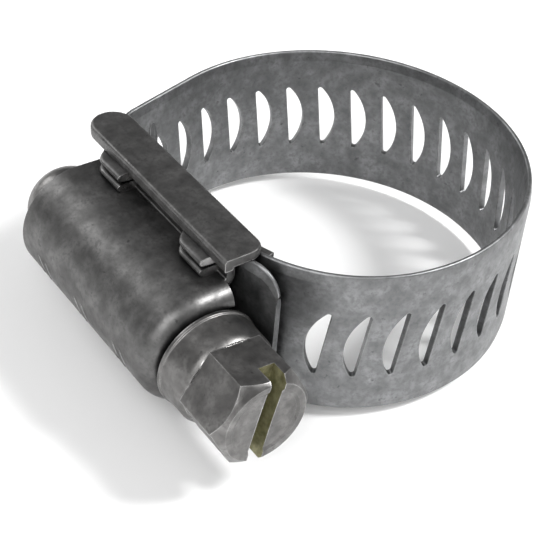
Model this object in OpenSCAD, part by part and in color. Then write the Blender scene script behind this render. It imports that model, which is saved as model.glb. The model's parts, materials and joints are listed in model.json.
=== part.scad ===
// Worm-drive hose clamp. The hose runs along Z, the screw along X with its hex head
// towards +X, and the housing sits on the -Y side of the loop.

/* [Band] */
// Width of the band
band_w = 14.29; // [12.7:0.1:15.9]
// Thickness of the band
band_t = 0.64; // [0.5:0.01:0.7]
// Inner radius of the round part of the loop
loop_r = 16.5; // [15.5:0.1:18]
// Distance from one slot to the next, which is also the lead of the worm thread
pitch = 3.175; // [3:0.005:3.3]
// Length of a slot across the band
slot_len = 7.3; // [6.5:0.1:8]
// Width of a slot at its middle
slot_w = 1.5; // [1.3:0.05:1.6]
// Angle by which a slot leans
slot_lean = 7; // [5:0.5:9]
// Where the tail of the band ends along the screw
tail_x = 11.3; // [11.2:0.1:11.8]
// Radius of the two corners of the tail
tail_corner = 2.4; // [1:0.1:2.5]
// Where the tail starts to curl towards the loop, to pass under the screw's collar
curl_x = 5; // [4.8:0.1:5.1]
// Radius of that curl
curl_r = 12; // [11:0.5:12]
// Angle through which the tail curls
curl_turn = 18; // [17:0.5:18]

/* [Housing] */
// Distance of the screw's axis from the middle of the loop
screw_y = 19.15; // [19.1:0.05:19.3]
// Outer radius of the barrel
barrel_r = 5.35; // [5.2:0.05:5.5]
// Thickness of the housing's sheet
shell_t = 0.8; // [0.7:0.05:0.85]
// Where the barrel starts, at the tip of the screw
barrel_x0 = -11.2; // [-12:0.1:-10]
// Where the barrel ends, at the head of the screw
barrel_x1 = 9.4; // [9:0.1:9.6]
// Radius of the barrel's rounded end at the head
shoulder_r = 1.6; // [1:0.1:2]

/* [Saddle] */
// Where the saddle's side flanges start
flange_x0 = -13.9; // [-14:0.1:-12]
// Where the saddle's side flanges end
flange_x1 = 8.7; // [8:0.1:9]
// Width of the curled edge that holds each foot of the housing
curl_w = 1.1; // [1:0.05:1.15]

/* [Screw] */
// Width of the hex head across its flats
hex_af = 7.94; // [7.9:0.01:8]
// Front face of the hex head
head_x1 = 18.2; // [18:0.1:19]
// Length of the hex
hex_len = 5.1; // [4.5:0.1:5.5]
// Radius of the round collar behind the hex
collar_r = 4.6; // [4.5:0.05:4.8]
// Outer radius of the thread
thread_r = 4.33; // [4.2:0.01:4.35]
// Radius of the screw between its threads
core_r = 3.4; // [3.2:0.05:3.5]
// Turn of the hex about the screw's axis
hex_turn = 26; // [0:1:59]
// Turn of the screwdriver slot about the screw's axis
driver_turn = -12; // [-90:1:90]
// Width of the screwdriver slot
driver_slot_w = 1.4; // [1.2:0.1:1.6]
// Depth of the screwdriver slot
driver_slot_d = 1.9; // [1.5:0.1:2.2]

/* [Hidden] */
LINKS = 7;
$fn = 96;
eps = 0.01;

// The band's middle line is measured by the length s along it, in slots from the far
// side of the loop: positive towards the tail, negative towards the captive end.
mid_r = loop_r + band_t / 2;
deg_per_mm = 180 / (PI * mid_r);

// Clearances: beside and between the layers, over the thread's crest, between links,
// under the captive end, at each foot's edge and under each curled edge.
fit_gap = 0.1;
crest_gap = 0.12;
link_gap = 0.05;
seat_gap = 0.02;
foot_gap = 0.05;
curl_gap = 0.05;

// Hinges between the links, in slots from the far side, each midway between two slots.
hinge_slots = [-9.5, -7.5, -4.5, -1.5, 1.5, 4.5, 7.5, 9.5];
last_turn = hinge_slots[LINKS] * pitch * deg_per_mm;
dip = last_turn - 90;

// The stack under the screw, as distances from the middle of the loop.
tail_y = screw_y - thread_r - crest_gap + band_t / 2;
seat_y = tail_y - band_t - fit_gap;
base_y = seat_y - band_t / 2 - seat_gap;
foot_y = tail_y + band_t / 2 + fit_gap;

// The captive end: a flat under the screw, and an arc on each side of it that meets the
// round part of the loop at the first hinge.
rise = mid_r - seat_y;
seat_flat = rise * (tan(dip) + 1 / cos(dip));
seat_r = seat_y - seat_flat * tan(dip);
seat_centre = [seat_flat, seat_r - seat_y];
lip_from = 12;
lip_to = 42;
lip_gap = 0.14;
last_captive_slot = -12;

// The tail: the round part goes on to side_lean, then a straight side, a bend and a
// long flat under the screw, and its end curls towards the loop.
side_lean = 16;
bend_r = 4.5;
side_start = mid_r * [-cos(side_lean), -sin(side_lean)];
side_dir = [sin(side_lean), -cos(side_lean)];
corner = side_start + side_dir * (tail_y + side_start[1]) / cos(side_lean);
corner_cut = bend_r * tan((90 - side_lean) / 2);
bend_start = corner - side_dir * corner_cut;
bend_centre = [corner[0] + corner_cut, bend_r - tail_y];
s_side = (90 + side_lean) / deg_per_mm;
s_bend = s_side + norm(bend_start - side_start);
s_flat = s_bend + bend_r * (90 - side_lean) * PI / 180;
s_curl = s_flat + curl_x - bend_centre[0];
s_tip = s_curl + curl_r * curl_turn * PI / 180;
s_seat = (90 + dip) / deg_per_mm;
first_tail_slot = ceil(s_flat / pitch);

// The end of the tail: the curl, then a short straight tip.
curl_centre = [curl_x, curl_r - tail_y];
tip_start = curl_centre + on_circle(curl_r, curl_turn - 90);
tip_len = (tail_x - tip_start[0]) / cos(curl_turn);

// Each lock is pressed out of a foot and ends in a sheared face towards the head.
lock_ends = [-6.1, 6.6];
lock_len = 4.2;
lock_h = 1.5;
lock_w = 0.55;
lock_pitch = 0.92;

collar_x0 = barrel_x1 + 0.45;
hex_x0 = head_x1 - hex_len;
tip_x = -15.6;
THREAD_STEPS = 30;

function on_circle(r, a) = [r * cos(a), r * sin(a)];

// The place and heading of the band's middle line, s millimetres from the far side.
function place(s) =
    s > s_tip ? concat(tip_start + on_circle(s - s_tip, curl_turn), curl_turn)
    : s > s_curl ? let(a = (s - s_curl) / curl_r * 180 / PI - 90)
        concat(curl_centre + on_circle(curl_r, a), a + 90)
    : s > s_flat ? [bend_centre[0] + s - s_flat, -tail_y, 0]
    : s > s_bend ? let(a = 180 + side_lean + (s - s_bend) / bend_r * 180 / PI)
        concat(bend_centre + on_circle(bend_r, a), a + 90)
    : s > s_side ? concat(side_start + side_dir * (s - s_side), side_lean - 90)
    : s > -s_seat ? let(a = 90 + s * deg_per_mm) concat(on_circle(mid_r, a), a + 90)
    : let(a = -dip + (s + s_seat) / seat_r * 180 / PI)
        concat(seat_centre + on_circle(seat_r, a), a + 90);

module arc_strip(centre, r, from, to) {
    translate([centre[0], centre[1], -band_w / 2])
        rotate([0, 0, from])
            rotate_extrude(angle = to - from)
                translate([r - band_t / 2, 0])
                    square([band_t, band_w]);
}

module flat_strip(x0, x1, y) {
    translate([x0, -y - band_t / 2, -band_w / 2])
        cube([x1 - x0, band_t, band_w]);
}

// One slot's outline: a chord on one side and an arc on the other.
module slot_outline() {
    arc_r = (pow(slot_len / 2, 2) + pow(slot_w, 2)) / (2 * slot_w);
    intersection() {
        translate([arc_r - slot_w / 2, 0])
            circle(arc_r);
        translate([-slot_w / 2 - 1, -slot_len])
            square([slot_w + 1, 2 * slot_len]);
    }
}

// Slots number first to last, counted from the far side of the loop.
module slots(first, last) {
    for (j = [first : last]) {
        at = place(j * pitch);
        translate([at[0], at[1], 0])
            rotate([90, 0, at[2]])
                rotate([0, 0, -slot_lean])
                    translate([0, 0, -2])
                        linear_extrude(4)
                            slot_outline();
    }
}

module band_link(i) {
    trim = link_gap / 2 * deg_per_mm;
    from = 90 + hinge_slots[i - 1] * pitch * deg_per_mm + trim;
    to = 90 + hinge_slots[i] * pitch * deg_per_mm - trim;
    color("lightgray")
        difference() {
            arc_strip([0, 0], mid_r, from, to);
            slots(ceil(hinge_slots[i - 1]), floor(hinge_slots[i]));
        }
}

// The captive end, from under the screw round to the first hinge.
module band_seat() {
    trim = link_gap / 2 / seat_r * 180 / PI;
    mirrored = [-seat_centre[0], seat_centre[1]];
    color("lightgray")
        difference() {
            union() {
                flat_strip(-seat_flat, seat_flat, seat_y);
                arc_strip(seat_centre, seat_r, -90, -dip - trim);
                arc_strip(mirrored, seat_r, -90 - lip_from, -90);
            }
            slots(last_captive_slot, ceil(hinge_slots[0]) - 1);
        }
}

// The free lip of the captive end, which springs inwards as the loop closes.
module band_lip() {
    trim = lip_gap / seat_r * 180 / PI;
    mirrored = [-seat_centre[0], seat_centre[1]];
    color("lightgray")
        arc_strip(mirrored, seat_r, -90 - lip_to, -90 - lip_from - trim);
}

module band_tail() {
    trim = link_gap / 2 * deg_per_mm;
    last_slot = floor((s_tip + tip_len - tail_corner) / pitch);
    color("lightgray")
        difference() {
            union() {
                arc_strip([0, 0], mid_r, 90 + last_turn + trim, 180 + side_lean);
                translate([side_start[0], side_start[1], -band_w / 2])
                    rotate([0, 0, side_lean - 90])
                        translate([0, -band_t / 2, 0])
                            cube([s_bend - s_side, band_t, band_w]);
                arc_strip(bend_centre, bend_r, 180 + side_lean, 270);
                flat_strip(bend_centre[0], curl_x, tail_y);
                arc_strip(curl_centre, curl_r, -90, curl_turn - 90);
                translate([tip_start[0], tip_start[1], 0])
                    rotate([0, 0, curl_turn])
                        tail_tip();
            }
            slots(ceil(hinge_slots[LINKS]), last_slot);
        }
}

module tail_tip() {
    reach = tip_len - tail_corner;
    inner_w = band_w / 2 - tail_corner;
    corner_step = 7.5;
    rotate([90, 0, 0])
        linear_extrude(band_t, center = true)
            polygon(concat(
                [[0, -band_w / 2]],
                [for (a = [-90 : corner_step : 0]) [reach, -inner_w] + on_circle(tail_corner, a)],
                [for (a = [0 : corner_step : 90]) [reach, inner_w] + on_circle(tail_corner, a)],
                [[0, band_w / 2]]));
}

// The barrel's section across the screw: round outside, with straight sides down to
// the feet.
module barrel_section(r) {
    circle(r);
    translate([0, -r])
        square([screw_y - foot_y - shell_t / 2, 2 * r]);
}

module along_screw(x0, x1) {
    translate([x0, -screw_y, 0])
        rotate([90, 0, 90])
            linear_extrude(x1 - x0)
                children();
}

// The shoulder's section, drawn as distance from the screw's axis and place along it.
module shoulder_section() {
    rim = barrel_r - shoulder_r;
    intersection() {
        translate([rim, 0])
            difference() {
                circle(shoulder_r);
                circle(shoulder_r - shell_t);
            }
        translate([rim, 0])
            square(2 * shoulder_r);
    }
}

module shoulder() {
    side_len = screw_y - foot_y - shell_t / 2;
    translate([barrel_x1 - shoulder_r, -screw_y, 0])
        rotate([0, 90, 0]) {
            rotate([0, 0, 180])
                rotate_extrude(angle = 180)
                    shoulder_section();
            for (side = [0, 1])
                mirror([side, 0, 0])
                    mirror([0, 1, 0])
                        rotate([90, 0, 0])
                            linear_extrude(side_len)
                                shoulder_section();
        }
}

module foot(side) {
    inner = barrel_r - shell_t;
    outer = band_w / 2 - foot_gap;
    x1 = barrel_x1 - shoulder_r;
    translate([barrel_x0, -foot_y - shell_t, side > 0 ? inner : -outer])
        cube([x1 - barrel_x0, shell_t, outer - inner]);
}

// A pair of ridges that rise from the foot and stop at a sheared face.
module lock(end_x, side) {
    for (row = [0, 1])
        translate([end_x, -foot_y - shell_t + eps, side * (barrel_r + seat_gap + row * lock_pitch)])
            mirror([0, 0, side > 0 ? 0 : 1])
                linear_extrude(lock_w)
                    polygon([[0, 0], [0, -lock_h], [-lock_len / 2, -lock_h * 0.8], [-lock_len, 0]]);
}

module housing() {
    color("dimgray") {
        along_screw(barrel_x0, barrel_x1 - shoulder_r)
            difference() {
                barrel_section(barrel_r);
                circle(barrel_r - shell_t);
                translate([0, -barrel_r + shell_t])
                    square(2 * (barrel_r - shell_t));
            }
        shoulder();
        for (side = [-1, 1])
            foot(side);
        for (side = [-1, 1], end_x = lock_ends)
            lock(end_x, side);
    }
}

// The saddle's base follows the inside of the captive end.
module saddle_base() {
    base_w = band_w + 2 * (fit_gap + shell_t);
    outer_r = seat_r - band_t / 2 - seat_gap;
    reach = asin((flange_x1 - seat_flat) / outer_r);
    translate([-seat_flat, -base_y, -base_w / 2])
        cube([2 * seat_flat, shell_t, base_w]);
    for (side = [0, 1])
        mirror([side, 0, 0])
            translate([seat_centre[0], seat_centre[1], -base_w / 2])
                rotate([0, 0, -90])
                    rotate_extrude(angle = side > 0 ? lip_from - 2 : reach)
                        translate([outer_r - shell_t, 0])
                            square([shell_t, base_w]);
}

module saddle_flange() {
    inner_z = band_w / 2 + fit_gap;
    curl_y = foot_y + shell_t + curl_gap;
    top = curl_y + shell_t;
    low = base_y - shell_t;
    round_r = (top - low) / 2;
    translate([0, 0, inner_z])
        linear_extrude(shell_t) {
            translate([flange_x0 + round_r, -top])
                square([flange_x1 - flange_x0 - round_r, top - low]);
            translate([flange_x0 + round_r, -(top + low) / 2])
                circle(round_r);
        }
    translate([flange_x0 + round_r, -top, inner_z + shell_t - curl_w])
        cube([flange_x1 - flange_x0 - round_r, shell_t, curl_w]);
}

module saddle() {
    color("gray") {
        saddle_base();
        for (side = [0, 1])
            mirror([0, 0, side])
                saddle_flange();
    }
}

// The worm thread, swept along its helix. Its crest lines up with the tail's slots on
// the side that faces the loop.
module thread() {
    start_x = bend_centre[0] + first_tail_slot * pitch - s_flat;
    head_space = 2.2;
    turns = floor((barrel_x1 - head_space - start_x) / pitch * 4) / 4;
    back = 0.75;
    steps = round((turns + back) * THREAD_STEPS);
    root_r = core_r - 0.2;
    root_half = 0.67;
    crest_half = 0.24;
    section = [[root_r, -root_half], [root_r, root_half],
               [thread_r, crest_half], [thread_r, -crest_half]];
    points = [
        for (i = [0 : steps], p = section)
            let(turn = i / THREAD_STEPS - back, a = 360 * turn)
                [start_x + pitch * turn + p[1], p[0] * cos(a), p[0] * sin(a)]
    ];
    sides = [
        for (i = [0 : steps - 1], k = [0 : 3])
            let(a = 4 * i + k, b = 4 * i + (k + 1) % 4)
                [a, a + 4, b + 4, b]
    ];
    caps = [[0, 1, 2, 3], [for (k = [3 : -1 : 0]) 4 * steps + k]];
    translate([0, -screw_y, 0])
        polyhedron(points = points, faces = concat(sides, caps), convexity = 10);
}

module turned(profile) {
    translate([0, -screw_y, 0])
        rotate([0, 90, 0])
            rotate_extrude()
                polygon(profile);
}

module hex_head() {
    corner_r = hex_af / sqrt(3);
    face_r = hex_af / 2 * 0.92;
    intersection() {
        translate([hex_x0, -screw_y, 0])
            rotate([0, 90, 0])
                rotate([0, 0, hex_turn])
                    cylinder(r = corner_r, h = hex_len, $fn = 6);
        turned([[0, hex_x0], [corner_r + eps, hex_x0], [corner_r + eps, head_x1 - 0.9],
                [face_r, head_x1], [0, head_x1]]);
    }
}

module screw() {
    dome_r = 3.7;
    dome_x = -12.4;
    dome_tip_r = 2.1;
    collar_len = 1;
    neck_r = collar_r - 0.25;
    color("darkgray")
        difference() {
            union() {
                hex_head();
                turned([[0, collar_x0], [collar_r, collar_x0], [collar_r, collar_x0 + collar_len],
                        [neck_r, hex_x0], [0, hex_x0]]);
                turned([[0, dome_x], [core_r, dome_x], [core_r, collar_x0], [0, collar_x0]]);
                turned([[0, tip_x], [dome_tip_r, tip_x], [dome_r - 0.4, tip_x + 0.9],
                        [dome_r, dome_x - 0.8], [dome_r, dome_x], [0, dome_x]]);
                thread();
            }
            translate([head_x1 - driver_slot_d, -screw_y, 0])
                rotate([driver_turn, 0, 0])
                    translate([0, -driver_slot_w / 2, -hex_af])
                        cube([driver_slot_d + 1, driver_slot_w, 2 * hex_af]);
        }
}

housing();
saddle();
screw();
band_seat();
band_lip();
band_tail();
for (i = [1 : LINKS])
    band_link(i);
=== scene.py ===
"""Worm-drive hose clamp: band, housing, saddle and screw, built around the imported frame."""

import json
import math

import bmesh
import bpy
from mathutils import Matrix, Vector


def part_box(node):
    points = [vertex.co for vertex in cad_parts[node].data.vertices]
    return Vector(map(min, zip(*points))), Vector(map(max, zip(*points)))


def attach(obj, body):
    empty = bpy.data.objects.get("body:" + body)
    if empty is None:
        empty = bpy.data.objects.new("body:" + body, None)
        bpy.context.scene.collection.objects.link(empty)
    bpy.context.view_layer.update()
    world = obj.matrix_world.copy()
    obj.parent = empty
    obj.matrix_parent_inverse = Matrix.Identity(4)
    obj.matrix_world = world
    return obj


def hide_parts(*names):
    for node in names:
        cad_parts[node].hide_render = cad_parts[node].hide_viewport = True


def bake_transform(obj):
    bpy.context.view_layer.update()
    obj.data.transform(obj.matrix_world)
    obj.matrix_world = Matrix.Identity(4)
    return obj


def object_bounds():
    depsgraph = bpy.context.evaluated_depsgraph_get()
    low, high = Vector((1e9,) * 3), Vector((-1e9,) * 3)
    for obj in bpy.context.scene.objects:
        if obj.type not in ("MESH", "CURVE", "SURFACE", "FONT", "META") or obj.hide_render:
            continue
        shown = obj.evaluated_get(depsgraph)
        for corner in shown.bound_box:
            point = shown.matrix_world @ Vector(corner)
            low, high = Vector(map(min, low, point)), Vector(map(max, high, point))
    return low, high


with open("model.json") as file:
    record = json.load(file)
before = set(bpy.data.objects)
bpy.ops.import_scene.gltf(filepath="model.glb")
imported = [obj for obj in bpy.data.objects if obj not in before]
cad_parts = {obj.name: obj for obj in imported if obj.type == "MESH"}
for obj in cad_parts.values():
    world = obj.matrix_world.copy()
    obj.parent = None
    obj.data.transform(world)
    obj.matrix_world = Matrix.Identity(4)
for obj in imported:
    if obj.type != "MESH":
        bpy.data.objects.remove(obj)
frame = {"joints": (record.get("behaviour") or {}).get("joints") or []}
cad_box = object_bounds()

MM = 0.001
joints = {joint["name"]: joint for joint in frame["joints"]}
hinges = [Vector(joints[f"band_bend_{i}"]["pos_m"]) / MM for i in range(1, 9)]


def box_mm(node):
    low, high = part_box(node)
    return low / MM, high / MM


# Sizes of the frame, in millimetres.
PITCH = 3.175
SHEET = 0.8
MID_R = hinges[3].length
SCREW_Y = joints["screw_spin"]["pos_m"][1] / MM
BAND_W = box_mm("band_link_4")[1].z * 2
BAND_T = 2 * (box_mm("band_link_4")[1].y - MID_R)
HALF_T = BAND_T / 2
HALF_W = BAND_W / 2
TAIL_Y = box_mm("band_tail")[0].y + HALF_T
SEAT_Y = box_mm("band_seat")[0].y + HALF_T
TAIL_END = box_mm("band_tail")[1].x
housing_low, housing_high = box_mm("housing")
saddle_low, saddle_high = box_mm("saddle")
screw_low, screw_high = box_mm("screw")

# The band's middle line is measured by the length s along it, from the far side of the
# loop: positive towards the tail, negative towards the captive end.
SIDE_LEAN = math.radians(16)
BEND_R = 4.5
CURL_X = 5
CURL_R = 12
CURL_TURN = math.radians(18)
LIP_FROM = math.radians(12)
LIP_TO = math.radians(42)
HINGE_SLOTS = [-9.5, -7.5, -4.5, -1.5, 1.5, 4.5, 7.5, 9.5]
CAPTIVE_SLOTS = (-12, -11)

dip = HINGE_SLOTS[-1] * PITCH / MID_R - math.pi / 2
SEAT_FLAT = (MID_R + SEAT_Y) * (math.tan(dip) + 1 / math.cos(dip))
SEAT_R = -SEAT_Y - SEAT_FLAT * math.tan(dip)


def tail_segments():
    """The lengths and curvatures of the band from the far side of the loop to the tail's end."""
    start = Vector((-MID_R * math.cos(SIDE_LEAN), -MID_R * math.sin(SIDE_LEAN)))
    side = Vector((math.sin(SIDE_LEAN), -math.cos(SIDE_LEAN)))
    corner = start + side * (start.y - TAIL_Y) / math.cos(SIDE_LEAN)
    cut = BEND_R * math.tan((math.pi / 2 - SIDE_LEAN) / 2)
    flat_start = corner.x + cut
    tip_start = CURL_X + CURL_R * math.sin(CURL_TURN)
    tip_outer = HALF_T * math.sin(CURL_TURN)
    return [
        (MID_R * (math.pi / 2 + SIDE_LEAN), 1 / MID_R),
        ((corner - start).length - cut, 0),
        (BEND_R * (math.pi / 2 - SIDE_LEAN), 1 / BEND_R),
        (CURL_X - flat_start, 0),
        (CURL_R * CURL_TURN, 1 / CURL_R),
        ((TAIL_END - tip_outer - tip_start) / math.cos(CURL_TURN), 0),
    ]


def captive_segments():
    """The same for the captive end, from the far side of the loop to the lip's end."""
    return [
        (MID_R * (math.pi / 2 + dip), 1 / MID_R),
        (SEAT_R * (math.pi / 2 - dip), 1 / SEAT_R),
        (2 * SEAT_FLAT, 0),
        (SEAT_R * LIP_TO, 1 / SEAT_R),
    ]


TAIL_PATH = tail_segments()
CAPTIVE_PATH = captive_segments()
TAIL_S = sum(length for length, _ in TAIL_PATH)
TAIL_FLAT_S = sum(length for length, _ in TAIL_PATH[:3])
LIP_S = -sum(length for length, _ in CAPTIVE_PATH)
LIP_HINGE_S = LIP_S + SEAT_R * (LIP_TO - LIP_FROM)
FLAT_S = LIP_S + SEAT_R * LIP_TO
SEAT_ARC_S = FLAT_S + 2 * SEAT_FLAT
TAIL_CORNER = 2.4
LIP_CORNER = 1.6


def follow(s):
    """The place and heading of the band's middle line at s."""
    sign = 1 if s >= 0 else -1
    left = abs(s)
    x, y, heading = 0.0, MID_R, math.pi
    for length, curve in TAIL_PATH if s >= 0 else CAPTIVE_PATH:
        step = sign * min(left, length)
        turn = step * curve
        if curve:
            x += (math.sin(heading + turn) - math.sin(heading)) / curve
            y += (math.cos(heading) - math.cos(heading + turn)) / curve
        else:
            x += step * math.cos(heading)
            y += step * math.sin(heading)
        heading += turn
        left -= abs(step)
        if left <= 0:
            break
    return x, y, heading


def corner_turn(s):
    """How far the edge has turned round the corner at either end of the band."""
    if s > TAIL_S - TAIL_CORNER:
        return math.asin(min(1, (s - TAIL_S + TAIL_CORNER) / TAIL_CORNER))
    if s < LIP_S + LIP_CORNER:
        return -math.asin(min(1, (LIP_S + LIP_CORNER - s) / LIP_CORNER))
    return 0


def spot(s, z, depth, normal):
    """A point of the band in metres, and its normal; normal is given along s, z and depth."""
    x, y, heading = follow(s)
    turn = corner_turn(s)
    radius = TAIL_CORNER if turn > 0 else LIP_CORNER
    squeeze = 1 - radius * (1 - math.cos(turn)) / HALF_W
    along = Vector((math.cos(heading), math.sin(heading), 0))
    out = Vector((math.sin(heading), -math.cos(heading), 0))
    ns, nz, nd = normal
    ns += abs(nz) * math.sin(turn)
    nz *= math.cos(turn)
    place = Vector((x, y, z * squeeze)) + out * depth
    return place * MM, (along * ns + Vector((0, 0, nz)) + out * nd).normalized()


class Mesh:
    """Collects the faces of one piece, with a normal for each vertex."""

    def __init__(self):
        self.points = []
        self.normals = []
        self.faces = []
        self.flat = []
        self.found = {}

    def band_vertex(self, s, z, depth, normal):
        key = (round(s, 4), round(z, 4), round(depth, 4))
        if key not in self.found:
            point, direction = spot(s, z, depth, normal)
            self.found[key] = len(self.points)
            self.points.append(point)
            self.normals.append(direction)
        return self.found[key]

    def face(self, corners, flat=False):
        corners = [c for i, c in enumerate(corners) if c != corners[i - 1]]
        if len(corners) > 2:
            self.faces.append(corners)
            self.flat.append(flat)

    def strip(self, first, second, closed=False):
        """Quads between two rows of vertices."""
        count = len(first)
        for i in range(count if closed else count - 1):
            j = (i + 1) % count
            self.face([first[i], first[j], second[j], second[i]])

    def make(self, name):
        mesh = bpy.data.meshes.new(name)
        mesh.from_pydata(self.points, [], self.faces)
        mesh.shade_smooth()
        loops = []
        for polygon, flat in zip(mesh.polygons, self.flat):
            for vertex in polygon.vertices:
                loops.append(polygon.normal.copy() if flat else self.normals[vertex])
        mesh.normals_split_custom_set(loops)
        piece = bpy.data.objects.new(name, mesh)
        bpy.context.scene.collection.objects.link(piece)
        return piece


# The band: flat over most of its width, with a coined strip and a round nose along each
# edge, and slots with slightly rounded rims.
EDGE_STRIP = 1.0
EDGE_NOSE = 0.2
CREASE = 0.08
FACE_Z = HALF_W - EDGE_STRIP
EDGE_SLOPE = math.atan((HALF_T - EDGE_NOSE) / (EDGE_STRIP - EDGE_NOSE))
ROWS = 24
CELL_STEPS = 8
SLOT_LEN = 7.3
SLOT_W = 1.5
SLOT_LEAN = math.radians(7)
SLOT_TIP_R = 0.22
RIM = 0.07


def edge_rows():
    """(z, depth, normal) from the band's outer face round its upper edge to its inner face."""
    rows = [(FACE_Z, HALF_T, (0, 0, 1))]
    slope = (0, math.sin(EDGE_SLOPE), math.cos(EDGE_SLOPE))
    rows.append((FACE_Z + CREASE, HALF_T - CREASE * math.tan(EDGE_SLOPE) / 2, slope))
    nose_steps = 8
    for i in range(nose_steps + 1):
        a = EDGE_SLOPE + (math.pi - 2 * EDGE_SLOPE) * i / nose_steps
        normal = (0, math.sin(a), math.cos(a))
        rows.append((HALF_W - EDGE_NOSE + EDGE_NOSE * math.sin(a), EDGE_NOSE * math.cos(a), normal))
    mirrored = [(z, -depth, (0, n[1], -n[2])) for z, depth, n in rows[:2]]
    return rows + mirrored[::-1]


EDGE_ROWS = edge_rows()


def section():
    """The band's whole section as a closed loop of (z, depth, normal)."""
    rows = [(FACE_Z * (2 * i / ROWS - 1), HALF_T, (0, 0, 1)) for i in range(ROWS)]
    rows += EDGE_ROWS
    rows += [(FACE_Z * (1 - 2 * i / ROWS), -HALF_T, (0, 0, -1)) for i in range(1, ROWS)]
    rows += [(-z, depth, (0, -n[1], n[2])) for z, depth, n in EDGE_ROWS[::-1]][:-1]
    return rows


SECTION = section()


def slot_outline():
    """(s, z) and outward normal round one slot: a chord on the tail's side, and an arc."""
    arc_r = ((SLOT_LEN / 2) ** 2 + SLOT_W**2) / (2 * SLOT_W)
    small_r = arc_r - SLOT_TIP_R
    tip_s = SLOT_W / 2 - SLOT_TIP_R
    centre = arc_r - SLOT_W / 2
    tip_z = math.sqrt(small_r**2 - (centre - tip_s) ** 2)
    tip_a = math.atan2(tip_z, tip_s - centre)
    points = []
    for i in range(ROWS):
        points.append((SLOT_W / 2, tip_z * (2 * i / ROWS - 1), 0))
    for i in range(CELL_STEPS):
        points.append((tip_s, tip_z, tip_a * i / CELL_STEPS))
    for i in range(ROWS):
        a = tip_a + (2 * math.pi - 2 * tip_a) * i / ROWS
        points.append((centre + small_r * math.cos(a), small_r * math.sin(a), a))
    for i in range(CELL_STEPS):
        points.append((tip_s, -tip_z, -tip_a * (1 - i / CELL_STEPS)))
    outline = []
    for number, (s, z, a) in enumerate(points):
        normal = Vector((math.cos(a), math.sin(a)))
        reach = 0 if number < ROWS else SLOT_TIP_R
        point = Vector((s, z)) + normal * reach
        turned = Matrix.Rotation(-SLOT_LEAN, 2)
        outline.append((turned @ point, turned @ normal))
    return outline


SLOT_OUTLINE = slot_outline()


def cell_border():
    """(s, z) round the rectangle that one slot sits in, in step with the slot's outline."""
    half = PITCH / 2
    border = [(half, FACE_Z * (2 * i / ROWS - 1)) for i in range(ROWS)]
    border += [(half * (1 - 2 * i / CELL_STEPS), FACE_Z) for i in range(CELL_STEPS)]
    border += [(-half, FACE_Z * (1 - 2 * i / ROWS)) for i in range(ROWS)]
    border += [(half * (2 * i / CELL_STEPS - 1), -FACE_Z) for i in range(CELL_STEPS)]
    return [Vector(point) for point in border]


CELL_BORDER = cell_border()
FACE_SHARES = [0, 0.3, 0.62, 0.86, 1]


def slot_rings():
    """(share of the way to the slot, distance from the slot, depth, turn of the normal)."""
    rings = [(share, RIM, HALF_T, 0) for share in FACE_SHARES]
    for i in range(1, 4):
        a = math.pi / 2 * i / 3
        rings.append((1, RIM * (1 - math.sin(a)), HALF_T - RIM * (1 - math.cos(a)), a))
    mirrored = [(share, gap, -depth, math.pi - a) for share, gap, depth, a in rings]
    return rings + mirrored[::-1]


SLOT_RINGS = slot_rings()


def add_cell(mesh, slot):
    """One pitch of the band with its slot."""
    middle = slot * PITCH
    rings = []
    for share, gap, depth, a in SLOT_RINGS:
        ring = []
        for border, (point, outward) in zip(CELL_BORDER, SLOT_OUTLINE):
            place = border.lerp(point + outward * gap, share)
            normal = (-outward.x * math.sin(a), -outward.y * math.sin(a), math.cos(a))
            ring.append(mesh.band_vertex(middle + place.x, place.y, depth, normal))
        rings.append(ring)
    for outer, inner in zip(rings, rings[1:]):
        mesh.strip(outer, inner, closed=True)
    columns = [middle + PITCH * (i / CELL_STEPS - 0.5) for i in range(CELL_STEPS + 1)]
    for side in (1, -1):
        rows = []
        for z, depth, n in EDGE_ROWS:
            normal = (0, side * n[1], n[2])
            rows.append([mesh.band_vertex(s, side * z, depth, normal) for s in columns[::side]])
        for first, second in zip(rows, rows[1:]):
            mesh.strip(first, second)


def add_plain(mesh, columns):
    """A stretch of the band with no slots, with its section at each of the columns."""
    loops = [[mesh.band_vertex(s, z, depth, n) for z, depth, n in SECTION] for s in columns]
    for first, second in zip(loops, loops[1:]):
        mesh.strip(second, first, closed=True)


def add_cap(mesh, s, sign):
    """Closes the band at s; sign is the way the cap faces along the band."""
    loop = [mesh.band_vertex(s, z, depth, n) for z, depth, n in SECTION]
    if sign < 0:
        loop = loop[::-1]
    mesh.face(loop, flat=True)


def steps(start, end, length):
    count = max(1, math.ceil(abs(end - start) / length))
    return [start + (end - start) * i / count for i in range(count + 1)]


def corner_columns(start, end, radius):
    """Columns from start to end, closer together where the corner of radius turns."""
    sign = 1 if end > start else -1
    turn = [end - sign * radius * (1 - math.sin(math.pi / 2 * i / 12)) for i in range(13)]
    return steps(start, turn[0], 0.5) + turn[1:]


def middle_point(s):
    return spot(s, 0, 0, (0, 0, 1))[0]


def band_piece(first, last):
    """The stretch of the band that holds the slots from first to last."""
    mesh = Mesh()
    for slot in range(first, last + 1):
        add_cell(mesh, slot)
    return mesh


def finish_band(mesh, name, replaced, material):
    piece = mesh.make(name)
    piece.data.materials.append(material)
    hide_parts(replaced)
    return piece


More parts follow.
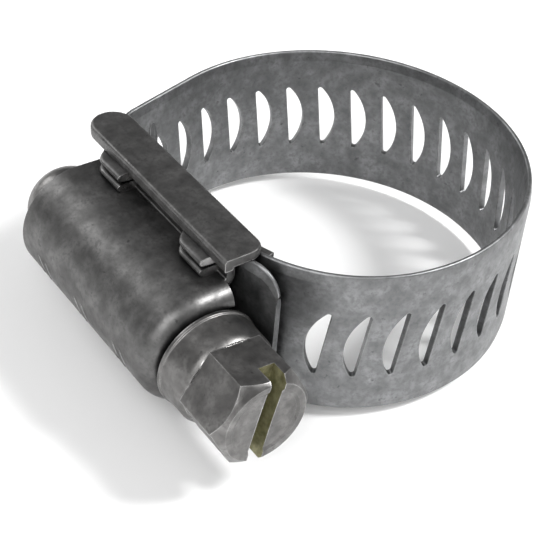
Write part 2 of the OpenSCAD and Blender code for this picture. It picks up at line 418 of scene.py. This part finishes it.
# Materials.
class Nodes:
    """Shorthand for building one material's node tree."""

    def __init__(self, name):
        self.material = bpy.data.materials.new(name)
        self.material.use_nodes = True
        self.tree = self.material.node_tree
        self.shader = self.tree.nodes["Principled BSDF"]

    def add(self, kind, inputs=None, **settings):
        node = self.tree.nodes.new(kind)
        for key, value in settings.items():
            setattr(node, key, value)
        for key, value in (inputs or {}).items():
            self.put(node, key, value)
        return node

    def put(self, node, key, value):
        if isinstance(value, bpy.types.NodeSocket):
            self.tree.links.new(value, node.inputs[key])
        else:
            node.inputs[key].default_value = value

    def noise(self, scale, detail):
        """Noise with features of about 1 / scale metres."""
        place = self.add("ShaderNodeTexCoord").outputs["Object"]
        inputs = {"Vector": place, "Scale": scale, "Detail": detail, "Roughness": 0.6}
        return self.add("ShaderNodeTexNoise", inputs).outputs["Fac"]

    def spread(self, value, low, high, to_low=0.0, to_high=1.0):
        """The value's range from low to high, stretched to a new range and clamped."""
        inputs = {"Value": value, "From Min": low, "From Max": high, "To Min": to_low, "To Max": to_high}
        return self.add("ShaderNodeMapRange", inputs).outputs["Result"]

    def mix(self, share, first, second):
        """The colour that is a share of the way from first to second."""
        node = self.add("ShaderNodeMix", data_type="RGBA")
        self.put(node, "Factor", share)
        for key, value in (("A", first), ("B", second)):
            socket = next(s for s in node.inputs if s.name == key and s.type == "RGBA")
            if isinstance(value, bpy.types.NodeSocket):
                self.tree.links.new(value, socket)
            else:
                socket.default_value = value
        return next(s for s in node.outputs if s.type == "RGBA")

    def math(self, operation, first, second=0.0):
        node = self.add("ShaderNodeMath", operation=operation)
        self.put(node, 0, first)
        self.put(node, 1, second)
        return node.outputs[0]

    def bump(self, height, strength, distance, under=None):
        """A normal for bumps of the given height in metres, on top of those under it."""
        inputs = {"Height": height, "Strength": strength, "Distance": distance}
        if under is not None:
            inputs["Normal"] = under
        return self.add("ShaderNodeBump", inputs).outputs[0]

    def edges(self, radius):
        """Nearly 1 on worn edges and 0 on open faces."""
        soft = self.add("ShaderNodeBevel", {"Radius": radius}, samples=6).outputs[0]
        hard = self.add("ShaderNodeNewGeometry").outputs["Normal"]
        dot = self.add("ShaderNodeVectorMath", {0: soft, 1: hard}, operation="DOT_PRODUCT")
        return self.spread(dot.outputs["Value"], 0.995, 0.86)

    def shaded_hollows(self, distance):
        """Nearly 1 deep in a groove and 0 in the open, from ambient occlusion; it masks painted shade.
        """
        open_share = self.add("ShaderNodeAmbientOcclusion", {"Distance": distance}, samples=8)
        return self.spread(open_share.outputs["AO"], 0.75, 0.15)


def grey(value, warm=0.0):
    """A linear grey, slightly warmer or cooler."""
    return (value * (1 + warm), value, value * (1 - warm), 1)


def steel(name, dark, light, warm, roughness, pitting, wear, hollow_shade):
    """Satin sheet steel with mottling, fine grain and worn edges, with painted shade darkening its
    grooves.
    """
    nodes = Nodes(name)
    clouds = nodes.spread(nodes.noise(650, 8), 0.38, 0.62)
    grain = nodes.spread(nodes.noise(2600, 5), 0.4, 0.62)
    specks = nodes.spread(nodes.noise(1500, 3), 0.66, 0.74)
    tone = nodes.mix(clouds, grey(dark, warm), grey(light, warm))
    tone = nodes.mix(nodes.math("MULTIPLY", grain, 0.55), tone, grey(dark * 0.6, warm))
    tone = nodes.mix(nodes.math("MULTIPLY", specks, pitting), tone, grey(dark * 0.35, warm))
    rubbed = nodes.math("MULTIPLY", nodes.edges(0.00018), nodes.spread(nodes.noise(900, 4), 0.3, 0.6))
    tone = nodes.mix(nodes.math("MULTIPLY", rubbed, wear), tone, grey(0.75, 0.01))
    # Painted shade: the colour is darkened to near black where ambient occlusion finds a groove or
    # recess.
    tone = nodes.mix(nodes.math("MULTIPLY", nodes.shaded_hollows(0.0016), hollow_shade), tone, grey(0.012, 0.0))
    nodes.put(nodes.shader, "Base Color", tone)
    nodes.put(nodes.shader, "Metallic", 1.0)
    rough = nodes.spread(nodes.noise(700, 5), 0.3, 0.7, roughness - 0.07, roughness + 0.09)
    rough = nodes.math("SUBTRACT", rough, nodes.math("MULTIPLY", rubbed, 0.14))
    nodes.put(nodes.shader, "Roughness", rough)
    dents = nodes.bump(nodes.noise(500, 3), 0.25, 0.0001)
    nodes.put(nodes.shader, "Normal", nodes.bump(nodes.noise(4200, 3), 0.3, 0.00003, dents))
    return nodes.material


band_steel = steel(
    "band_steel", dark=0.2, light=0.31, warm=-0.015,
    roughness=0.44, pitting=0.6, wear=0.45, hollow_shade=0.6,
)
housing_steel = steel(
    "housing_steel", dark=0.12, light=0.2, warm=0.01,
    roughness=0.43, pitting=0.6, wear=0.7, hollow_shade=0.95,
)
saddle_steel = steel(
    "saddle_steel", dark=0.13, light=0.2, warm=0.012,
    roughness=0.44, pitting=0.6, wear=0.7, hollow_shade=0.95,
)
screw_steel = steel(
    "screw_steel", dark=0.15, light=0.27, warm=0.02,
    roughness=0.37, pitting=0.6, wear=0.9, hollow_shade=0.9,
)
# A much lighter copy of the steel for the real sheared ridge ends: a painted highlight on the cut faces.
sheared_glint_steel = steel(
    "sheared_glint_steel", dark=0.6, light=0.8, warm=0.01,
    roughness=0.3, pitting=0.2, wear=0.3, hollow_shade=0.1,
)


def tarnish():
    """The yellow film left in the screwdriver slot."""
    nodes = Nodes("slot_tarnish")
    clouds = nodes.spread(nodes.noise(1300, 5), 0.35, 0.65)
    nodes.put(nodes.shader, "Base Color", nodes.mix(clouds, (0.16, 0.15, 0.08, 1), (0.34, 0.33, 0.2, 1)))
    nodes.put(nodes.shader, "Metallic", 0.7)
    nodes.put(nodes.shader, "Roughness", nodes.spread(nodes.noise(2200, 3), 0.3, 0.7, 0.4, 0.6))
    nodes.put(nodes.shader, "Normal", nodes.bump(nodes.noise(2600, 4), 0.4, 0.00005))
    return nodes.material


slot_tarnish = tarnish()


# The band's pieces: each spans one hinge, and meets its neighbours end to end.
def build_band():
    first, last = CAPTIVE_SLOTS
    mesh = band_piece(first, last)
    lip_s = LIP_HINGE_S + 0.4
    arc_columns = steps((first - 0.5) * PITCH, SEAT_ARC_S, 0.45)
    flat_columns = steps(SEAT_ARC_S, FLAT_S, 0.9)
    seat_columns = arc_columns + flat_columns[1:] + steps(FLAT_S, lip_s, 0.45)[1:]
    add_plain(mesh, seat_columns[::-1])
    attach(finish_band(mesh, "captive_end", "band_seat", band_steel), "frame")

    mesh = Mesh()
    columns = corner_columns(lip_s, LIP_S, LIP_CORNER)
    add_plain(mesh, columns[::-1])
    add_cap(mesh, LIP_S, -1)
    lip = finish_band(mesh, "captive_lip", "band_lip", band_steel)
    middle_point(lip_s - 0.1)
    middle_point(lip_s - 1.5)
    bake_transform(lip)

    first = last + 1
    for number, hinge in enumerate(HINGE_SLOTS[:-1], start=1):
        last = math.floor(HINGE_SLOTS[number] - 1)
        mesh = band_piece(first, last)
        piece = finish_band(mesh, f"band_arc_{number}", f"band_link_{number}", band_steel)
        reach = min(1, last + 0.5 - hinge)
        start = middle_point((hinge - 1) * PITCH)
        end = middle_point((hinge + reach) * PITCH)
        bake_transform(piece)
        first = last + 1

    last_slot = math.floor((TAIL_S - TAIL_CORNER) / PITCH)
    mesh = band_piece(first, last_slot)
    columns = corner_columns((last_slot + 0.5) * PITCH, TAIL_S, TAIL_CORNER)
    add_plain(mesh, columns)
    add_cap(mesh, TAIL_S, 1)
    tail = finish_band(mesh, "tail", "band_tail", band_steel)
    hinge = HINGE_SLOTS[-1]
    start = middle_point((hinge - 1) * PITCH)
    middle_point((hinge + 1) * PITCH)
    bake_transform(tail)


build_band()


# Sheet-metal and turned pieces.
def object_from(name, points, faces, material):
    """A smooth-shaded object from points in millimetres."""
    mesh = bpy.data.meshes.new(name)
    mesh.from_pydata([Vector(point) * MM for point in points], [], faces)
    grid = bmesh.new()
    grid.from_mesh(mesh)
    bmesh.ops.remove_doubles(grid, verts=grid.verts, dist=1e-7)
    bmesh.ops.dissolve_degenerate(grid, edges=grid.edges, dist=1e-8)
    bmesh.ops.recalc_face_normals(grid, faces=grid.faces)
    grid.to_mesh(mesh)
    grid.free()
    mesh.shade_smooth()
    mesh.materials.append(material)
    piece = bpy.data.objects.new(name, mesh)
    bpy.context.scene.collection.objects.link(piece)
    return piece


def grid_faces(rows, columns, closed=False):
    """Quads over rows x columns points; closed joins the last column to the first."""
    faces = []
    for row in range(rows - 1):
        for column in range(columns if closed else columns - 1):
            after = (column + 1) % columns
            a = row * columns
            b = a + columns
            faces.append([a + column, a + after, b + after, b + column])
    return faces


def apply_modifiers(piece):
    """Bakes the piece's modifiers into its mesh."""
    bpy.context.view_layer.update()
    evaluated = piece.evaluated_get(bpy.context.evaluated_depsgraph_get())
    mesh = bpy.data.meshes.new_from_object(evaluated)
    piece.modifiers.clear()
    piece.data = mesh
    return piece


def soften(piece, width, angle=35, segments=3):
    """Rounds the sharp edges, and shades the piece by the size of its faces."""
    bevel = piece.modifiers.new("soft_edges", "BEVEL")
    bevel.width = width * MM
    bevel.segments = segments
    bevel.limit_method = "ANGLE"
    bevel.angle_limit = math.radians(angle)
    bevel.use_clamp_overlap = True
    weighted = piece.modifiers.new("shading", "WEIGHTED_NORMAL")
    weighted.keep_sharp = False
    weighted.weight = 60
    return apply_modifiers(piece)


def join(pieces, name):
    """One object from several, as separate shells."""
    bpy.ops.object.select_all(action="DESELECT")
    for piece in pieces:
        piece.select_set(True)
    bpy.context.view_layer.objects.active = pieces[0]
    bpy.ops.object.join()
    pieces[0].name = name
    return pieces[0]


def arc_points(centre, radius, start, end, count):
    """Points on an arc, as (across, up) pairs, from start to end in degrees."""
    points = []
    for i in range(count + 1):
        a = math.radians(start + (end - start) * i / count)
        points.append((centre[0] + radius * math.cos(a), centre[1] + radius * math.sin(a)))
    return points


# The housing: a barrel folded out into two feet, and drawn in round its head end.
BARREL_R = SCREW_Y - housing_low.y
FOOT_Z = housing_high.z
FOOT_Y = housing_high.y
BARREL_X0 = housing_low.x
BARREL_X1 = housing_high.x
SHOULDER_R = 1.6
FOLD_R = 0.55
LOCK_ENDS = [-6.1, 6.6]
LOCK_LEN = 4.6
LOCK_H = 1.85
LOCK_W = 0.8
LOCK_PITCH = 1.0
BAR_GROUPS = [-7.4, -1.2, 5.0]
BAR_SHIFT = 0.55
BAR_AROUND = math.radians(12)
BAR_LEN = 1.9
BAR_HALF_W = 0.2
BAR_H = 0.13
BAR_LEAN = math.radians(68)


def barrel_profile(radius):
    """(z, y) of the middle of the sheet from one foot over the barrel to the other."""
    foot_y = FOOT_Y - SHEET / 2
    fold = (radius + FOLD_R, foot_y - FOLD_R)
    half = [(FOOT_Z, foot_y), ((FOOT_Z + fold[0]) / 2, foot_y)]
    half += arc_points(fold, FOLD_R, 90, 180, 6)
    half += [(radius, fold[1] + (SCREW_Y - fold[1]) * i / 4) for i in range(1, 4)]
    crown = arc_points((0, SCREW_Y), radius, 0, -180, 48)
    other = [(-z, y) for z, y in half[::-1]]
    return half + crown + other, len(half) - 4


def housing_shell():
    """The folded sheet: the profile swept along the screw, then drawn in over the shoulder."""
    radius = BARREL_R - SHEET / 2
    profile, feet = barrel_profile(radius)
    columns = len(profile)
    stations = steps(BARREL_X0, BARREL_X1 - SHOULDER_R, 0.8)
    points = [(x, y, z) for x in stations for z, y in profile]
    faces = grid_faces(len(stations), columns)
    turn_r = SHOULDER_R - SHEET / 2
    turn_steps = 10
    for i in range(1, turn_steps + 1):
        a = math.pi / 2 * i / turn_steps
        inset = turn_r * (1 - math.cos(a))
        x = BARREL_X1 - SHOULDER_R + turn_r * math.sin(a)
        start = len(points)
        for z, y in profile[feet:columns - feet]:
            if y < SCREW_Y:
                scale = (radius - inset) / radius
                points.append((x, SCREW_Y + (y - SCREW_Y) * scale, z * scale))
            else:
                points.append((x, y, math.copysign(radius - inset, z)))
        width = columns - 2 * feet
        before = start - width if i > 1 else start - columns + feet
        for j in range(width - 1):
            faces.append([before + j, before + j + 1, start + j + 1, start + j])
    shell = object_from("shell", points, faces, housing_steel)
    solid = shell.modifiers.new("sheet", "SOLIDIFY")
    solid.thickness = SHEET * MM
    solid.offset = 0
    solid.use_even_offset = True
    apply_modifiers(shell)
    return soften(shell, 0.13)


def lock_ridge(end_x, side, row):
    """A ridge pressed out of the foot, rounded on top, that stops at a sheared face."""
    sunk = 0.05
    base_y = FOOT_Y - SHEET + sunk
    middle_z = side * (BARREL_R + LOCK_W / 2 - 0.04 + row * LOCK_PITCH)
    sweep = 16
    around = 12
    rise_share = 0.4
    points = []
    for i in range(sweep + 1):
        share = i / sweep
        height = LOCK_H * math.sin(math.pi / 2 * min(1, share / rise_share)) ** 0.8
        width = LOCK_W * (0.55 + 0.45 * math.sin(math.pi / 2 * share))
        for j in range(around + 1):
            a = math.pi * j / around
            across = math.copysign(abs(math.cos(a)) ** 0.7, math.cos(a)) * width / 2
            up = max(math.sin(a), 0) ** 0.55 * height
            points.append((end_x - LOCK_LEN * (1 - share), base_y - up, middle_z + across))
    faces = grid_faces(sweep + 1, around + 1, closed=True)
    faces.append(list(range(around + 1)))
    ridge = object_from("ridge", points, faces, housing_steel)
    last = sweep * (around + 1)
    # The sheared end face gets the lighter steel, which paints a highlight on it.
    end = object_from("ridge_end", points[last:], [list(range(around + 1))], sheared_glint_steel)
    return [ridge, end]


def stamped_bar(x):
    """A short raised bar on the barrel, with rounded ends and a rounded top."""
    length_steps = 12
    width_steps = 6
    sunk = 0.02
    points = []
    for i in range(length_steps + 1):
        along = 2 * i / length_steps - 1
        end = math.sqrt(max(0.0, 1 - along**4))
        for j in range(width_steps + 1):
            across = 2 * j / width_steps - 1
            bar_x = BAR_LEN / 2 * along
            bar_y = BAR_HALF_W * end * across
            shift = bar_x * math.cos(BAR_LEAN) - bar_y * math.sin(BAR_LEAN)
            arc = bar_x * math.sin(BAR_LEAN) + bar_y * math.cos(BAR_LEAN)
            a = BAR_AROUND + arc / BARREL_R
            r = BARREL_R - sunk + BAR_H * end * (1 - across**2)
            points.append((x + shift, SCREW_Y - r * math.cos(a), -r * math.sin(a)))
    return object_from("bar", points, grid_faces(length_steps + 1, width_steps + 1), housing_steel)


def build_housing():
    pieces = [housing_shell()]
    for end_x in LOCK_ENDS:
        for side in (-1, 1):
            for row in (0, 1):
                pieces += lock_ridge(end_x, side, row)
    for x in BAR_GROUPS:
        for shift in (-BAR_SHIFT, BAR_SHIFT):
            pieces.append(stamped_bar(x + shift))
    housing = join(pieces, "clamp_housing")
    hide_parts("housing")
    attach(housing, "frame")


build_housing()


# The saddle: a base that follows the inside of the captive end, with a flange up each
# side whose edge curls over the housing's foot.
FLANGE_Z1 = saddle_high.z
FLANGE_Z0 = FLANGE_Z1 - SHEET
FLANGE_X0 = saddle_low.x
FLANGE_X1 = 8.7
FLANGE_Y0 = saddle_low.y
SEAT_GAP = 0.02
FLANGE_Y1 = SEAT_Y + HALF_T + SEAT_GAP + SHEET
CURL_W = 1.1
FOLD_OUT = 0.34
NOSE_R = 0.12
HEEL_R = 0.1
BASE_INSET = 0.15
TONGUE_STEP = 1.1
TONGUE_RUN = 0.6
END_CORNER = 1.3
BASE_LIP_TURN = math.radians(10)


def flange_section(reach, curl):
    """(distance from the flange's middle line, z), from its outer face round its edge."""
    top = arc_points((reach - FOLD_OUT, FLANGE_Z1 - FOLD_OUT), FOLD_OUT, 90, 0, 6)
    low_z = FLANGE_Z1 - SHEET - (CURL_W - SHEET) * curl
    nose = arc_points((reach - NOSE_R, low_z + NOSE_R), NOSE_R, 0, -90, 3)
    inner = reach - SHEET
    heel = arc_points((inner + HEEL_R, low_z + HEEL_R), HEEL_R, -90, -180, 3)
    return [(0, FLANGE_Z1)] + top + nose + heel + [(inner, FLANGE_Z0), (0, FLANGE_Z0)]


def flange(side):
    reach = (FLANGE_Y1 - FLANGE_Y0) / 2
    middle_y = (FLANGE_Y1 + FLANGE_Y0) / 2
    centre_x = FLANGE_X0 + reach
    stations = [(x, 0, -1, 1, 1) for x in steps(FLANGE_X1, centre_x, 1.0)]
    for i in range(1, 21):
        a = math.pi * i / 20
        stations.append((centre_x, -math.sin(a), -math.cos(a), max(0, 1 - i / 12), 1))
    for x in steps(centre_x, FLANGE_X1 - END_CORNER, 1.0)[1:]:
        stations.append((x, 0, 1, 0, 1))
    for i in range(1, 9):
        a = math.pi / 2 * i / 8
        x = FLANGE_X1 - END_CORNER * (1 - math.sin(a))
        stations.append((x, 0, 1, 0, 1 - END_CORNER * (1 - math.cos(a)) / reach))
    points = []
    for x, out_x, out_y, curl, share in stations:
        for distance, z in flange_section(reach, curl):
            distance *= share
            points.append((x + out_x * distance, middle_y + out_y * distance, side * z))
    columns = len(flange_section(reach, 0))
    faces = grid_faces(len(stations), columns)
    last = (len(stations) - 1) * columns
    faces.append(list(range(columns)) + [last + i for i in range(columns - 2, 0, -1)])
    return object_from("flange", points, faces, saddle_steel)


def spot_plain(s, z, depth):
    """A point in millimetres beside the band's middle line."""
    x, y, heading = follow(s)
    return Vector((x + math.sin(heading) * depth, y - math.cos(heading) * depth, z))


def saddle_base():
    """The base, swept along the band's path on the loop's side of it."""
    reach_s = SEAT_R * math.asin((FLANGE_X1 - SEAT_FLAT) / SEAT_R)
    columns = steps(FLAT_S - SEAT_R * BASE_LIP_TURN, SEAT_ARC_S + reach_s, 0.25)
    outer = -HALF_T - SEAT_GAP
    inner = outer - SHEET + SEAT_GAP
    edge_r = 0.2
    points = []
    for s in columns:
        past = max(FLAT_S - s, s - SEAT_ARC_S, 0)
        half = FLANGE_Z1 - BASE_INSET - TONGUE_STEP * min(1, past / TONGUE_RUN) ** 2
        loop = [(half - 0.3, outer), (half, outer)]
        loop += arc_points((half - edge_r, inner + edge_r), edge_r, 0, -90, 5)
        loop += [(0, inner)]
        loop += [(-z, d) for z, d in loop[::-1][1:]]
        points += [spot_plain(s, z, depth) for z, depth in loop]
    faces = grid_faces(len(columns), len(loop), closed=True)
    last = (len(columns) - 1) * len(loop)
    faces.append(list(range(len(loop))))
    faces.append([last + i for i in range(len(loop))])
    return object_from("base", points, faces, saddle_steel)


def build_saddle():
    pieces = [soften(piece, 0.16, 50) for piece in (flange(1), flange(-1), saddle_base())]
    saddle = join(pieces, "clamp_saddle")
    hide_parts("saddle")
    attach(saddle, "frame")


build_saddle()


# The screw, in turned and milled shapes about its axis.
AROUND = 96
HEX_AF = 7.94
HEX_LEN = 5.1
HEAD_X1 = screw_high.x
HEX_X0 = HEAD_X1 - HEX_LEN
HEX_TURN = math.radians(56)
COLLAR_X0 = BARREL_X1 + 0.45
COLLAR_R = 4.6
RIM_LEN = 0.32
NECK_R = COLLAR_R - 0.14
CORE_R = 3.4
THREAD_R = 4.33
ROOT_HALF = 0.72
CREST_HALF = 0.24
CREST_ROUND = 0.1
TIP_X = screw_low.x
DOME_X = -12.4
DOME_R = 3.65
SLOT_TURN = math.radians(-14)
DRIVER_W = 1.4
DRIVER_D = 1.9


def turned(name, stations):
    """A solid of revolution about the screw's axis, through (x, radius) stations."""
    points = []
    for x, radius in stations:
        for j in range(AROUND):
            a = 2 * math.pi * j / AROUND
            points.append((x, SCREW_Y + radius * math.cos(a), radius * math.sin(a)))
    return object_from(name, points, grid_faces(len(stations), AROUND, closed=True), screw_steel)


def hex_head():
    """A hexagon with a cone cut across its front corners, and a shallow dish in its face."""
    apothem = HEX_AF / 2
    face_r = apothem * 0.93
    cone = 0.9 / (HEX_AF / math.sqrt(3) - face_r)
    rings = [[] for _ in range(7)]
    for j in range(AROUND):
        a = 2 * math.pi * j / AROUND
        flat = (a - HEX_TURN) % (math.pi / 3) - math.pi / 6
        side_r = apothem / math.cos(flat)
        chamfer_x = HEAD_X1 - cone * (side_r - face_r)
        stations = [
            (HEX_X0, 0),
            (HEX_X0, side_r),
            (chamfer_x, side_r),
            (HEAD_X1, face_r),
            (HEAD_X1, face_r * 0.86),
            (HEAD_X1 - 0.16, face_r * 0.78),
            (HEAD_X1 - 0.2, 0),
        ]
        for ring, (x, radius) in zip(rings, stations):
            ring.append((x, SCREW_Y + radius * math.cos(a), radius * math.sin(a)))
    points = [point for ring in rings for point in ring]
    head = object_from("head", points, grid_faces(len(rings), AROUND, closed=True), screw_steel)
    turn = Matrix.Rotation(SLOT_TURN, 3, "X")
    points = [
        turn @ Vector((x, y, z)) + Vector((0, SCREW_Y, 0))
        for x in (HEAD_X1 - DRIVER_D, HEAD_X1 + 1)
        for y in (-DRIVER_W / 2, DRIVER_W / 2)
        for z in (-HEX_AF, HEX_AF)
    ]
    faces = [[0, 1, 3, 2], [4, 6, 7, 5], [0, 4, 5, 1], [2, 3, 7, 6], [0, 2, 6, 4], [1, 5, 7, 3]]
    cutter = object_from("cutter", points, faces, slot_tarnish)
    cutter.data.shade_flat()
    cut = head.modifiers.new("driver_slot", "BOOLEAN")
    cut.operation = "DIFFERENCE"
    cut.solver = "EXACT"
    cut.object = cutter
    cut.material_mode = "TRANSFER"
    apply_modifiers(head)
    bpy.data.objects.remove(cutter)
    return soften(head, 0.12, 24)


def thread():
    """The worm, swept along its helix with its crest facing the tail's slots."""
    flat_start = follow(TAIL_FLAT_S)[0]
    start_x = flat_start + math.ceil(TAIL_FLAT_S / PITCH) * PITCH - TAIL_FLAT_S
    head_space = 2.2
    turns = math.floor((BARREL_X1 - head_space - start_x) / PITCH * 4) / 4
    back = 0.75
    count = 72
    section_points = [
        (CORE_R - 0.2, -ROOT_HALF),
        (THREAD_R - CREST_ROUND, -CREST_HALF - CREST_ROUND),
        (THREAD_R, -CREST_HALF),
    ]
    section_points += [(radius, -along) for radius, along in section_points[::-1]]
    points = []
    rows = round((turns + back) * count) + 1
    for i in range(rows):
        turn = i / count - back
        a = 2 * math.pi * turn
        for radius, along in section_points:
            x = start_x + PITCH * turn + along
            points.append((x, SCREW_Y + radius * math.cos(a), radius * math.sin(a)))
    columns = len(section_points)
    faces = grid_faces(rows, columns, closed=True)
    faces.append(list(range(columns)))
    faces.append([(rows - 1) * columns + i for i in range(columns)])
    return object_from("thread", points, faces, screw_steel)


def build_screw():
    collar_end = HEX_X0 + 0.05
    collar = turned("collar", [
        (COLLAR_X0, 0),
        (COLLAR_X0, COLLAR_R),
        (COLLAR_X0 + RIM_LEN, COLLAR_R),
        (COLLAR_X0 + RIM_LEN + 0.08, NECK_R),
        (COLLAR_X0 + 1.2, NECK_R - 0.02),
        (HEX_X0 - 0.5, NECK_R - 0.06),
        (collar_end, NECK_R - 0.36),
        (collar_end, 0),
    ])
    core_from = DOME_X - 0.3
    core_to = COLLAR_X0 + 0.3
    core = turned("core", [(core_from, 0), (core_from, CORE_R), (core_to, CORE_R), (core_to, 0)])
    edge = 0.1
    dome_points = [(DOME_X, 0), (DOME_X, DOME_R - edge), (DOME_X - edge, DOME_R)]
    crown_x = DOME_X - 0.6
    crown_steps = 12
    for i in range(crown_steps + 1):
        a = math.pi / 2 * i / crown_steps
        x = crown_x - (crown_x - TIP_X) * math.sin(a)
        dome_points.append((x, DOME_R * math.cos(a) ** 0.8))
    tip = turned("tip", dome_points)
    pieces = [soften(collar, 0.05, 50), core, soften(tip, 0.05, 60)]
    pieces += [hex_head(), soften(thread(), 0.04, 60)]
    screw = join(pieces, "clamp_screw")
    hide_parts("screw")
    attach(screw, "screw")


build_screw()


# The floor, the light and the camera.
def build_floor():
    size = 3.0
    bpy.ops.mesh.primitive_plane_add(size=size, location=(0, 0, cad_box[0][2] - 0.00002))
    floor = bpy.context.object
    floor.name = "floor"
    nodes = Nodes("pale_floor")
    nodes.put(nodes.shader, "Base Color", (0.9, 0.9, 0.9, 1))
    nodes.put(nodes.shader, "Roughness", 0.8)
    floor.data.materials.append(nodes.material)


build_floor()


def area_light(name, direction, distance, size, power):
    """A square soft light that faces the middle of the clamp."""
    light = bpy.data.lights.new(name, "AREA")
    light.shape = "SQUARE"
    light.size = size
    light.energy = power
    lamp = bpy.data.objects.new(name, light)
    bpy.context.scene.collection.objects.link(lamp)
    lamp.location = Vector(direction).normalized() * distance
    lamp.rotation_euler = lamp.location.to_track_quat("Z", "Y").to_euler()


def build_world():
    """Soft light from all round: bright low down, dim half way up."""
    world = bpy.data.worlds.new("studio")
    bpy.context.scene.world = world
    world.use_nodes = True
    tree = world.node_tree
    place = tree.nodes.new("ShaderNodeTexCoord")
    split = tree.nodes.new("ShaderNodeSeparateXYZ")
    ramp = tree.nodes.new("ShaderNodeValToRGB")
    stops = [(0.0, 0.75), (0.5, 0.7), (0.56, 0.45), (0.75, 0.2), (1.0, 0.5)]
    ramp.color_ramp.elements[0].position = stops[0][0]
    ramp.color_ramp.elements[1].position = stops[-1][0]
    for position, _ in stops[1:-1]:
        ramp.color_ramp.elements.new(position)
    for element, (_, value) in zip(ramp.color_ramp.elements, stops):
        element.color = (value, value, value, 1)
    height = tree.nodes.new("ShaderNodeMapRange")
    height.inputs["From Min"].default_value = -1
    tree.links.new(place.outputs["Generated"], split.inputs[0])
    tree.links.new(split.outputs["Z"], height.inputs["Value"])
    tree.links.new(height.outputs[0], ramp.inputs[0])
    tree.links.new(ramp.outputs[0], tree.nodes["Background"].inputs[0])


build_world()
area_light("key", (0.41, 0.52, 0.75), distance=0.6, size=0.13, power=3.4)
area_light("front", (0.5, -0.8, 0.9), distance=0.7, size=0.5, power=3.5)
area_light("side", (-0.9, -0.3, 0.5), distance=0.8, size=0.3, power=1.5)

LENS = 94.25
CAMERA_TARGET = Vector((0.00017, -0.0055, -0.00425))
CAMERA_DISTANCE = 0.12884
CAMERA_AZIMUTH = math.radians(51.915)
CAMERA_ELEVATION = math.radians(39.696)
CAMERA_ROLL = math.radians(5.305)


def build_camera():
    back = Vector((
        math.sin(CAMERA_AZIMUTH) * math.cos(CAMERA_ELEVATION),
        -math.cos(CAMERA_AZIMUTH) * math.cos(CAMERA_ELEVATION),
        math.sin(CAMERA_ELEVATION),
    ))
    level = Vector((math.cos(CAMERA_AZIMUTH), math.sin(CAMERA_AZIMUTH), 0))
    upright = back.cross(level)
    right = level * math.cos(CAMERA_ROLL) + upright * math.sin(CAMERA_ROLL)
    up = back.cross(right)
    data = bpy.data.cameras.new("camera")
    data.lens = LENS
    data.clip_start = 0.01
    camera = bpy.data.objects.new("camera", data)
    bpy.context.scene.collection.objects.link(camera)
    pose = Matrix((right, up, back)).transposed().to_4x4()
    pose.translation = CAMERA_TARGET + back * CAMERA_DISTANCE
    camera.matrix_world = pose
    bpy.context.scene.camera = camera


build_camera()
bpy.context.scene.view_settings.view_transform = "Standard"
